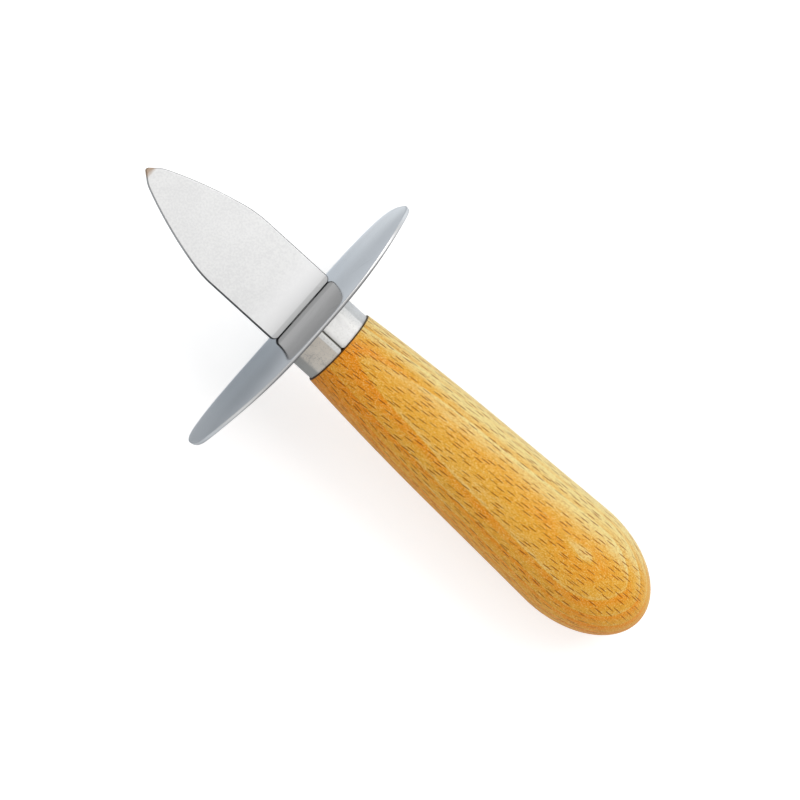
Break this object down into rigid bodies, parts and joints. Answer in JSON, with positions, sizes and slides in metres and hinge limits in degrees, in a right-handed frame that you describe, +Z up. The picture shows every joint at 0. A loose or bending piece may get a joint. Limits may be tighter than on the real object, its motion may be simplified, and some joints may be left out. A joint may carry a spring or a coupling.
{
  "type": "oyster knife",
  "caption": "Oyster knife with a short lancet blade, an oval steel guard that shields the hand, a steel ferrule and a turned wooden handle for prying shells open",
  "frame": {"origin": "the middle of the knife's footprint box, on the table that it lies on", "axes": "+X along the knife towards the tip, +Y across the blade, +Z up; the knife lies on the guard's rim and its butt, so its own axis rises 8.1 degrees towards the tip"},
  "size_m": [0.165, 0.0784, 0.0556],
  "materials": {
    "blade_steel": "satin",
    "guard_steel": "polished stainless steel",
    "ferrule_steel": "satin, rolled strip",
    "beech": "clear varnish over turned beech",
    "resin": "cured, hidden"
  },
  "bodies": {
    "root": {"blade": "blade_steel", "guard": "guard_steel", "ferrule": "ferrule_steel", "handle": "beech", "tang_bedding": "resin"}
  },
  "joints": []
}
